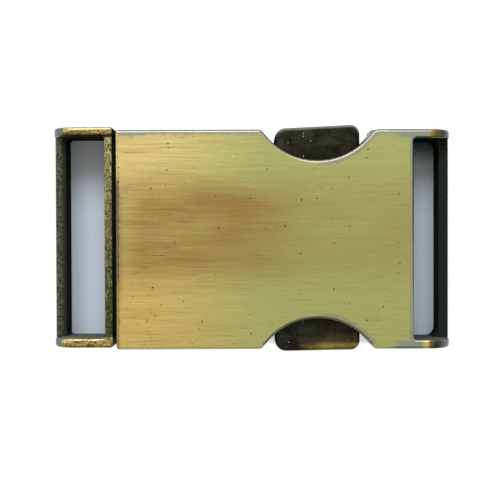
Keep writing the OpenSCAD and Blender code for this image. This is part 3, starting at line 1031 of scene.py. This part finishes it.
def dress(
    name: str, solid: Solid, rules: list[Softening], default: float, finish: bpy.types.Material, place: Place,
    shift_y: float = 0.0,
) -> bpy.types.Object:
    """Turns a solid into a finished piece of the buckle.

    Args:
        name: The piece's name.
        solid: Its shape in millimetres, used up.
        rules: The radii of its edges; the first rule that picks an edge holds.
        default: The radius of its other sharp edges, in millimetres.
        finish: The material.
        place: Where it belongs.
        shift_y: How far it is moved along Y after the rules have been read, in millimetres.

    Returns:
        The piece.
    """
    sharp = math.radians(SHARP_CORNER)
    solid.cleaned()
    largest = max([default] + [rule.radius for rule in rules])
    weights = solid.mesh.edges.layers.float.new("bevel_weight_edge")
    for edge in solid.mesh.edges:
        if len(edge.link_faces) == 2 and edge.is_convex and edge.calc_face_angle(0) > sharp:
            facts = EdgeFacts.of(edge)
            radius = next((rule.radius for rule in rules if rule.picks(facts)), default)
            edge[weights] = radius / largest
    solid.moved((0, shift_y, 0))
    bmesh.ops.scale(solid.mesh, verts=solid.mesh.verts, vec=(MM, MM, MM))
    piece = solid.as_object(name)
    solid.mesh.free()
    for face in piece.data.polygons:
        face.use_smooth = True
    bevel = piece.modifiers.new("rounded edges", "BEVEL")
    bevel.limit_method = "WEIGHT"
    bevel.width = largest * MM
    bevel.segments = 4
    bevel.use_clamp_overlap = False
    # The rounding is applied, so that the edges which are still sharp after it part the shading.
    rounded = bpy.data.meshes.new_from_object(piece.evaluated_get(bpy.context.evaluated_depsgraph_get()))
    rounded.set_sharp_from_angle(angle=math.radians(SHARP_SHADING))
    unrounded = piece.data
    piece.modifiers.clear()
    piece.data = rounded
    bpy.data.meshes.remove(unrounded)
    normals = piece.modifiers.new("flat faces", "WEIGHTED_NORMAL")
    normals.keep_sharp = True
    piece.data.materials.append(finish)
    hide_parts(place.node)
    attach(piece, place.body)
    LOG.info("%s stands for %s on %s", name, place.node, place.body)
    return piece


@dataclass(frozen=True)
class StrapLoop:
    """The loop for the webbing at a casting's +X end, its bar set lower than its arms, in millimetres."""

    walls: Walls
    length: float
    bar: float
    near_corner: float
    far_corner: float
    bar_rim: float
    end_x: float
    half: float
    base_z: float
    top_z: float

    @property
    def inner(self) -> float:
        """Half of the slot's width."""
        return self.walls.slot_half

    @property
    def near_x(self) -> float:
        """Where the slot starts."""
        return self.end_x - self.bar - self.length

    @property
    def bar_z(self) -> float:
        """The height of the bar's top."""
        return self.base_z + self.walls.bar_height

    def block(self, start_x: float) -> Solid:
        """The casting's outer block, with its +X end rolled over.

        Args:
            start_x: Its -X end.

        Returns:
            The block.
        """
        block = Solid.block((start_x, -self.half, self.base_z), (self.end_x, self.half, self.top_z))
        block.soften(
            self.walls.roll, 16,
            lambda e: e.along(Axis.Y) and e.beside(Axis.X, 1) and e.beside(Axis.Z, 1),
        )
        return block.soften(
            self.walls.foot, 6,
            lambda e: e.along(Axis.Y) and e.beside(Axis.X, 1) and e.beside(Axis.Z, -1),
        )

    def cuts(self) -> list[Solid]:
        """The cutters of the slot and of the room above its bar."""
        far_x = self.end_x - self.bar
        slot = Solid.block((self.near_x, -self.inner, self.base_z - 1), (far_x, self.inner, self.top_z + 1))
        slot.soften(self.near_corner, 6, lambda e: e.along(Axis.Z) and e.middle.x < self.near_x + 0.01)
        slot.soften(self.far_corner, 8, lambda e: e.along(Axis.Z) and e.middle.x > far_x - 0.01)
        above = Solid.block(
            (far_x - self.far_corner, -self.inner, self.bar_z), (self.end_x + 1, self.inner, self.top_z + 1)
        )
        return [slot, above]

    def rules(self) -> list[Softening]:
        """The radii of the loop's edges."""
        corner = self.inner - self.far_corner - 0.1
        return [
            Softening(0.0, lambda e: abs(e.middle.z - self.bar_z) < TOUCH and abs(e.middle.y) > corner
                      and self.near_x < e.middle.x < self.end_x - 0.1),
            Softening(self.bar_rim, lambda e: e.middle.x > self.near_x
                      and abs(e.middle.z - self.bar_z) < TOUCH),
            Softening(0.3, lambda e: e.middle.x > self.near_x and abs(abs(e.middle.y) - self.inner) < TOUCH
                      and e.middle.z > self.bar_z),
            Softening(0.3, lambda e: e.middle.x > self.near_x - 0.1 and abs(e.middle.y) < self.inner + TOUCH
                      and (e.middle.z > self.top_z - TOUCH or e.middle.z < self.base_z + TOUCH)),
        ]


@dataclass
class Housing:
    """The socket: a flat housing with two finger notches and a strap loop, one casting."""

    layout: Layout
    walls: Walls
    slot_length: float = 3.83
    bar: float = 1.3
    cavity_r: float = 0.5
    notch_back: float = 11.23
    notch_depth: float = 4.07
    notch_r: float = 8.8
    flank: float = 49.5
    corner_ease: float = 0.8
    worn_ease: float = 1.5
    wall_end: float = 7.2
    rim: float = 0.4
    mouth_rim: float = 0.35
    near_corner: float = 0.45
    far_corner: float = 1.2
    bar_rim: float = 0.3

    @property
    def slot_x(self) -> float:
        """Where the strap slot starts."""
        return self.layout.socket_end_x - self.bar - self.slot_length

    @property
    def notch_x(self) -> float:
        """The middle of the notches."""
        return self.slot_x - self.walls.end - self.notch_back

    def cavity(self) -> Solid:
        """The hollow that takes the plug's tongue."""
        size = self.layout
        half = size.half_w - self.walls.side
        hollow = Solid.block(
            (size.mouth_x - 1, -half, self.walls.floor),
            (self.slot_x - self.walls.end, half, size.height - self.walls.top),
        )
        return hollow.soften(self.cavity_r, 4, lambda e: e.along(Axis.X))

    def notch(self, low_z: float, high_z: float, far_ease: float, square: bool = False) -> Solid:
        """A cutter of the finger notch on side A: a round bottom, two straight flanks and eased corners.

        Args:
            low_z: The height of its lower face.
            high_z: The height of its upper face.
            far_ease: The radius of its corner towards the strap slot.
            square: Whether its far flank ends square, as the side wall does under the top plate.

        Returns:
            The cutter.
        """
        half = self.layout.half_w
        centre_y = half - self.notch_depth + self.notch_r
        lean = math.radians(self.flank)
        meets_x = self.notch_r * math.sin(lean)
        meets_y = centre_y - self.notch_r * math.cos(lean)
        corner_x = self.notch_x + meets_x + (half - meets_y) / math.tan(lean)
        bottom = arc((self.notch_x, centre_y), self.notch_r, 270 - self.flank, 2 * self.flank, 40)
        near, far = (
            arc((corner_x + ease * math.tan(lean / 2), half - ease), ease, 90 + self.flank, -self.flank, 8)
            for ease in (self.corner_ease, far_ease)
        )
        across = [Vector((2 * self.notch_x - p.x, p.y, 0)) for p in reversed(near)]
        if square:
            end_y = meets_y + (self.wall_end - meets_x) * math.tan(lean)
            far = [Vector((self.notch_x + self.wall_end, end_y, 0))]
        outline = [
            Vector((across[0].x, half + 1, 0)), *across, *bottom, *far, Vector((far[-1].x, half + 1, 0)),
        ]
        return Solid.prism(outline, low_z, high_z)

    def build(self, finish: bpy.types.Material) -> bpy.types.Object:
        """Makes the housing and dresses it.

        Args:
            finish: The brushed antique brass.

        Returns:
            The piece.
        """
        size = self.layout
        half = size.half_w
        top = size.height
        ceiling = top - self.walls.top
        loop = StrapLoop(
            self.walls, self.slot_length, self.bar, self.near_corner, self.far_corner, self.bar_rim,
            size.socket_end_x, half, 0, top,
        )
        shape = loop.block(size.mouth_x)
        shape.cut(
            self.notch(-1, top + 1, self.corner_ease).mirrored(Axis.Y),
            self.notch(ceiling - 0.05, top + 1, self.worn_ease),
            self.notch(-1, ceiling - 0.05, self.corner_ease, square=True),
            self.cavity(),
            *loop.cuts(),
        )
        rules = [
            Softening(0.1, lambda e: e.along(Axis.Z) and abs(e.middle.x - self.notch_x) < 9),
            *self.walls.corners(half),
            Softening(self.mouth_rim, lambda e: e.along(Axis.Y) and abs(e.middle.x - size.mouth_x) < TOUCH
                      and (e.middle.z > top - TOUCH or e.middle.z < TOUCH)),
            Softening(0.1, lambda e: abs(e.middle.z - ceiling) < 0.06),
            Softening(self.rim, lambda e: abs(abs(e.middle.y) - half) < TOUCH),
            *loop.rules(),
            Softening(self.rim, lambda e: e.middle.z > top - TOUCH or e.middle.z < TOUCH),
        ]
        place = Place("frame", "brushed_antique_brass", "socket_housing")
        return dress("housing", shape, rules, 0.1, finish, place)


@dataclass
class PlugFrame:
    """The plug: a strap loop, the cross bar that closes the housing's mouth, and the tongue, one casting."""

    layout: Layout
    walls: Walls
    slot_length: float = 5.54
    bar: float = 1.48
    slot_corner: float = 0.4
    root_length: float = 7.96
    root_gap: float = 0.5
    spine_half: float = 2.9
    eye_reach: float = 2.7
    eye_gap: float = 2.1
    pin_gap: float = 0.03
    pocket_r: float = 1.6
    pocket_depth: float = 0.7
    rim: float = 0.4
    bar_rim: float = 0.4

    @property
    def face_x(self) -> float:
        """The cross bar's face towards the housing."""
        return self.layout.mouth_x - self.walls.mouth_gap

    def tongue(self) -> Solid:
        """The wide root, the middle bar with its round tip, and their slots, holes and pockets."""
        size = self.layout
        low_z = self.walls.floor + self.walls.tongue_gap
        high_z = size.height - self.walls.top - self.walls.tongue_gap
        root_half = size.half_w - self.walls.side - self.root_gap
        start_x = self.face_x - self.walls.flange / 2
        root_x = self.face_x + self.root_length
        tip_x = size.plug_tip_x - self.spine_half
        outline = [
            Vector((start_x, -root_half, 0)), Vector((root_x, -root_half, 0)),
            Vector((root_x, -self.spine_half, 0)),
            *arc((tip_x, 0), self.spine_half, -90, 180, 24),
            Vector((root_x, self.spine_half, 0)),
            Vector((root_x, root_half, 0)), Vector((start_x, root_half, 0)),
        ]
        tongue = Solid.prism(outline, low_z, high_z)
        for side in Side:
            slot = Solid.block(
                (size.pin_x - self.eye_reach, size.pin_y - self.eye_reach, size.mid_z - self.eye_gap / 2),
                (root_x + 1, root_half + 1, size.mid_z + self.eye_gap / 2),
            )
            hole = Solid.rod(
                (size.pin_x, size.pin_y, size.mid_z), size.pin_r + self.pin_gap, high_z - low_z + 2,
            )
            pocket = Solid.rod(
                (size.spring_x, self.spine_half - self.pocket_depth + 1, size.mid_z), self.pocket_r, 2,
                Axis.Y,
            )
            tongue.cut(slot.on_side(side), hole.on_side(side), pocket.on_side(side))
        return tongue

    def build(self, finish: bpy.types.Material) -> bpy.types.Object:
        """Makes the plug and dresses it.

        Args:
            finish: The cast antique brass.

        Returns:
            The piece.
        """
        size = self.layout
        half = size.plug_half_w
        top = size.height
        low = size.plug_low_z
        corner = self.slot_corner
        loop = StrapLoop(
            self.walls, self.slot_length, self.bar, corner, corner, self.bar_rim, -size.plug_end_x, half,
            low, top,
        )
        shape = loop.block(-self.face_x).cut(*loop.cuts()).mirrored(Axis.X)
        shape.join(self.tongue())
        rules = [
            Softening(0.15, lambda e: e.middle.x > self.face_x + TOUCH),
            *self.walls.corners(half),
            Softening(0.3, lambda e: e.along(Axis.Y) and abs(e.middle.x - self.face_x) < TOUCH
                      and (e.middle.z > top - TOUCH or e.middle.z < low + TOUCH)),
            Softening(self.rim, lambda e: abs(abs(e.middle.y) - half) < TOUCH),
            *(rule.mirrored(Axis.X) for rule in loop.rules()),
        ]
        place = Place("frame", "cast_antique_brass", "plug_frame")
        return dress("plug", shape, rules, 0.15, finish, place, size.plug_y)


@dataclass
class ReleaseLever:
    """A release lever: its eye on the pivot, a neck, an arm, the finger pad and the nose, one piece."""

    layout: Layout
    side: Side
    slope: float
    eye_r: float = 2.3
    eye_t: float = 1.9
    bore_gap: float = 0.06
    arm_y: tuple[float, float] = (9.4, 12.4)
    arm_h: float = 4.2
    shoulder: float = 3.3
    nose_l: float = 2.8
    pad_l: float = 11.4
    pad_inner: float = 8.1
    near_corner: float = 1.5
    far_corner: float = 1.2
    nose_r: float = 1.2
    pocket_r: float = 1.95
    pocket_depth: float = 0.7
    pad_rim: float = 0.5

    @property
    def pad_x(self) -> tuple[float, float]:
        """Where the pad starts and ends."""
        high_x = self.layout.nose_x - self.nose_l
        return high_x - self.pad_l, high_x

    def pad(self) -> Solid:
        """The finger pad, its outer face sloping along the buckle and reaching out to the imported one's."""
        lean = math.radians(self.slope)
        low_x, high_x = self.pad_x
        near_x = low_x + self.near_corner
        far_x = high_x - self.far_corner
        peak_x, peak_r = (far_x, self.far_corner) if self.slope > 0 else (near_x, self.near_corner)
        reach = self.layout.pad_outer[self.side] - peak_r + peak_r / math.cos(lean)
        centres = {
            x: reach + (x - peak_x) * math.tan(lean) - r / math.cos(lean)
            for x, r in ((near_x, self.near_corner), (far_x, self.far_corner))
        }
        outline = [
            Vector((low_x, self.pad_inner, 0)), Vector((high_x, self.pad_inner, 0)),
            *arc((far_x, centres[far_x]), self.far_corner, 0, 90 + self.slope, 10),
            *arc((near_x, centres[near_x]), self.near_corner, 90 + self.slope, 90 - self.slope, 10),
        ]
        return Solid.prism(outline, *self.layout.pad_z)

    def build(self, name: str, place: Place, finish: bpy.types.Material) -> bpy.types.Object:
        """Makes the lever and dresses it.

        Args:
            name: The piece's name.
            place: Where it belongs.
            finish: The blackened brass.

        Returns:
            The piece.
        """
        size = self.layout
        mid = size.mid_z
        inner, outer = self.arm_y
        low_x, high_x = self.pad_x
        arm_z = (mid - self.arm_h / 2, mid + self.arm_h / 2)
        shoulder = size.pin_x + self.shoulder
        neck = [
            *arc((size.pin_x, size.pin_y), self.eye_r, 90, 180, 32),
            Vector((shoulder + 1, inner, 0)), Vector((shoulder + 1, outer, 0)), Vector((shoulder, outer, 0)),
        ]
        nose = [
            Vector((high_x - 1, self.pad_inner, 0)), Vector((size.nose_x, self.pad_inner, 0)),
            *arc((size.nose_x - self.nose_r, outer - self.nose_r), self.nose_r, 0, 90, 8),
            Vector((high_x - 1, outer, 0)),
        ]
        shape = Solid.prism(neck, mid - self.eye_t / 2, mid + self.eye_t / 2)
        shape.join(
            Solid.block((shoulder, inner, arm_z[0]), (low_x + 1, outer, arm_z[1])),
            Solid.prism(nose, *arm_z),
            self.pad(),
        )
        pocket_y = self.pad_inner + self.pocket_depth - 1
        shape.cut(
            Solid.rod((size.pin_x, size.pin_y, mid), size.pin_r + self.bore_gap, self.eye_t + 2),
            Solid.rod((size.spring_x, pocket_y, mid), self.pocket_r, 2, Axis.Y),
        )
        low_z, high_z = size.pad_z
        rules = [
            Softening(self.pad_rim, lambda e: (e.middle.z > high_z - TOUCH or e.middle.z < low_z + TOUCH)
                      and e.middle.y > self.pad_inner + 0.1),
            Softening(0.3, lambda e: e.middle.x > shoulder + 1),
        ]
        if self.side is Side.B:
            shape.mirrored(Axis.Y)
            rules = [rule.mirrored(Axis.Y) for rule in rules]
        return dress(name, shape, rules, 0.12, finish, place, size.plug_y)


@dataclass
class PivotPin:
    """The plain pin that a lever turns on."""

    layout: Layout
    side: Side
    chamfer: float = 0.15

    def build(self, name: str, node: str, finish: bpy.types.Material) -> bpy.types.Object:
        """Makes the pin and dresses it.

        Args:
            name: The piece's name.
            node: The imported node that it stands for.
            finish: The steel.

        Returns:
            The piece.
        """
        size = self.layout
        shape = Solid.rod((size.pin_x, size.pin_y, size.mid_z), size.pin_r, size.pin_l, sides=48)
        shape.on_side(self.side)
        return dress(name, shape, [], self.chamfer, finish, Place("frame", "steel", node), size.plug_y)


@dataclass
class LeverSpring:
    """The coil spring between the tongue and a pad: closed end turns, the others spread evenly."""

    layout: Layout
    side: Side
    wire: float = 0.45
    turns: int = 6
    close: float = 1.06
    keep: float = 0.55
    steps: int = 24

    def coil(self) -> Solid:
        """The wound wire, from the tongue to the pad on side A."""
        size = self.layout
        centre = Vector((size.spring_x, size.spring_near + self.wire / 2, size.mid_z))
        close = self.wire * self.close
        spread = (size.spring_far - size.spring_near - self.wire - 2 * close) / (self.turns - 2)
        mesh = bmesh.new()
        bmesh.ops.create_circle(
            mesh, cap_ends=True, segments=10, radius=self.wire / 2,
            matrix=Matrix.Translation(centre + Vector((size.spring_r - self.wire / 2, 0, 0))),
        )
        section = [*mesh.verts, *mesh.edges, *mesh.faces]
        for pitch, count in ((close, 1), (spread, self.turns - 2), (close, 1)):
            wound = bmesh.ops.spin(
                mesh, geom=section, cent=centre, axis=(0, 1, 0), dvec=(0, pitch / self.steps, 0),
                angle=math.tau * count, steps=self.steps * count, use_merge=False, use_duplicate=False,
            )
            section = wound["geom_last"]
        bmesh.ops.recalc_face_normals(mesh, faces=mesh.faces)
        return Solid(mesh)

    def build(self, name: str, node: str, joint: str, finish: bpy.types.Material) -> bpy.types.Object:
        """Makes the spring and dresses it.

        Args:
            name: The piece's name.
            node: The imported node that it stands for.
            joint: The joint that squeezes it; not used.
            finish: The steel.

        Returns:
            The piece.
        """
        size = self.layout
        shape = self.coil().on_side(self.side)
        piece = dress(name, shape, [], 0.02, finish, Place("frame", "steel", node), size.plug_y)
        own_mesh(piece)
        return piece


@dataclass
class Studio:
    """The pale floor, the soft lights and the camera above, as in the photograph."""

    layout: Layout
    pixel_mm: float = 0.13255
    camera_up_mm: float = 145.0
    origin_px: tuple[float, float] = (252.05, 239.5)
    picture_px: tuple[float, float] = (499, 500)
    lean: float = 1.0
    roll: float = 0.17
    lamp_size: tuple[float, float] = (0.4, 0.2)
    lamp_place: tuple[float, float, float] = (-0.05, 0.335, 0.37)
    lamp_power: float = 1.6

    def build(self) -> None:
        """Makes the floor, the lights and the camera."""
        self._floor()
        self._surround()
        self._window()
        self._camera()

    def _floor(self) -> None:
        """A wide, pale floor just under the buckle, with painted light: it glows, though it is no lamp, so that
        it is white all round the buckle.
        """
        mesh = bmesh.new()
        bmesh.ops.create_grid(mesh, x_segments=1, y_segments=1, size=1.5)
        bmesh.ops.translate(mesh, verts=mesh.verts, vec=(0, 0, -0.02 * MM))
        floor = Solid(mesh).as_object("floor")
        paper = bpy.data.materials.new("paper")
        net = Wiring(paper)
        spot = net.add("TexCoord", {}, ()).node.outputs["Object"]
        x, y, _ = net.add("SeparateXYZ", {}, (spot,)).node.outputs
        off_x = net.add("Math", UNSIGNED, (x,))
        off_y = net.add("Math", UNSIGNED, (y,))
        # Painted light: the paper glows, though it is no lamp, but not below the strap slots, and glows more to
        # wash out the buckle's own shadow.
        clear = net.add("Math", LARGER, (
            net.add("MapRange", SMOOTH, (off_x, 0.0256, 0.0264)),
            net.add("MapRange", SMOOTH, (off_y, 0.0136, 0.0144)),
        ))
        clear = net.add("Math", LARGER, (clear, net.add("MapRange", SMOOTH, (off_x, 0.0180, 0.0175))))
        shadow = net.add("MapRange", SMOOTH, (off_x, 0.0300, 0.0268, 0.0, 0.3))
        shadow = net.add("Math", TIMES, (shadow, net.add("MapRange", SMOOTH, (y, -0.0143, -0.0149))))
        shadow = net.add("Math", TIMES, (shadow, net.add("MapRange", SMOOTH, (y, -0.0320, -0.0220))))
        glow = net.add("Math", {"operation": "MULTIPLY_ADD"}, (clear, 0.5, shadow))
        # Painted shade: the paper is coloured darker below the socket's slot, most in its corner towards side
        # A.
        corner = net.add("Math", TIMES, (
            net.add("MapRange", SMOOTH, (y, 0.0095, 0.0134)),
            net.add("MapRange", SMOOTH, (y, 0.0150, 0.0142)),
        ))
        corner = net.add("Math", TIMES, (corner, net.add("MapRange", SMOOTH, (x, 0.0200, 0.0205))))
        corner = net.add("Math", TIMES, (corner, net.add("MapRange", SMOOTH, (x, 0.0264, 0.0256))))
        shade = net.add("Mix", COLOUR, (corner, tint("#E8EEF8"), tint("#576F6B")))
        shader = net.add("BsdfPrincipled", {}, {
            "Base Color": shade, "Roughness": 1.0, "Specular IOR Level": 0.0,
            "Emission Color": tint("#FFFFFF"), "Emission Strength": glow,
        })
        net.add("OutputMaterial", {}, (shader,))
        floor.data.materials.append(paper)

    def _surround(self) -> None:
        """A soft room: pale overhead, brighter low at both ends, dim and olive to green towards side B."""
        world = bpy.data.worlds.new("surround")
        bpy.context.scene.world = world
        net = Wiring(world)
        way = net.add("TexCoord", {}, ()).node.outputs["Generated"]
        x, y, z = net.add("SeparateXYZ", {}, (way,)).node.outputs
        dim = net.add("Mix", COLOUR, (
            net.add("MapRange", SMOOTH, (x, -0.12, 0.12)), tint("#8B8450"), tint("#56766C"),
        ))
        room = net.add("Mix", COLOUR, (net.add("MapRange", SMOOTH, (y, -0.8, 0.3)), dim, tint("#C4CBD6")))
        room = net.add("Mix", COLOUR, (net.add("MapRange", SMOOTH, (z, 0.75, 0.97)), room, tint("#E5E3DB")))
        strip = net.add("Mix", COLOUR, (
            net.add("MapRange", SMOOTH, (x, -0.5, 0.5)), tint("#FFF3D2"), tint("#D8D6CC"),
        ))
        low = net.add("MapRange", SMOOTH, (net.add("Math", UNSIGNED, (x,)), 0.7, 0.9))
        light = net.add("Mix", COLOUR, (low, room, strip))
        strength = net.add("MapRange", {}, (low, 0.0, 1.0, 1.0, 1.6))
        background = net.add("Background", {}, (light, strength))
        net.add("OutputWorld", {}, (background,))

    def _window(self) -> None:
        """One large, cool, soft lamp towards side A, as a window."""
        lamp = bpy.data.lights.new("window", "AREA")
        lamp.shape = "RECTANGLE"
        lamp.size, lamp.size_y = self.lamp_size
        lamp.energy = self.lamp_power
        lamp.color = tint("#ECF4FF")[:3]
        window = bpy.data.objects.new("window", lamp)
        window.location = self.lamp_place
        window.rotation_euler = window.location.to_track_quat("Z", "Y").to_euler()
        bpy.context.scene.collection.objects.link(window)

    def _camera(self) -> None:
        """A long lens almost straight above, its middle on the photograph's middle."""
        lens = bpy.data.cameras.new("camera")
        lens.sensor_width = 36
        wide, high = self.picture_px
        lens.lens = self.camera_up_mm / self.pixel_mm * lens.sensor_width / max(wide, high)
        lens.clip_start = 0.01
        camera = bpy.data.objects.new("camera", lens)
        middle = Vector((
            (wide / 2 - self.origin_px[0]) * self.pixel_mm,
            (self.origin_px[1] - high / 2) * self.pixel_mm,
            self.layout.height,
        ))
        turn = Matrix.Rotation(math.radians(-self.lean), 3, "X")
        camera.location = (middle + turn @ Vector((0, 0, self.camera_up_mm))) * MM
        camera.rotation_euler = (turn @ Matrix.Rotation(math.radians(-self.roll), 3, "Z")).to_euler()
        bpy.context.scene.collection.objects.link(camera)
        bpy.context.scene.camera = camera


def main() -> None:
    """Builds the buckle's pieces in order, and the studio around them."""
    logging.basicConfig(level=logging.INFO)
    bpy.context.scene.view_settings.view_transform = "Standard"
    layout = Layout.from_frame()
    walls = Walls()
    Housing(layout, walls).build(BrushedAntiqueBrass().make())
    PlugFrame(layout, walls).build(CastAntiqueBrass().make())
    black = BlackenedBrass().make()
    steel = DrawnSteel().make()
    for side, letter, slope in ((Side.A, "a", 2.7), (Side.B, "b", -0.9)):
        place = Place(f"lever_{letter}", "blackened_brass", f"release_lever_{letter}")
        ReleaseLever(layout, side, slope).build(f"lever_{letter}", place, black)
        PivotPin(layout, side).build(f"pin_{letter}", f"pivot_pin_{letter}", steel)
        LeverSpring(layout, side).build(
            f"spring_{letter}", f"lever_spring_{letter}", f"lever_{letter}_press", steel,
        )
    Studio(layout).build()


if __name__ == "__main__":
    main()
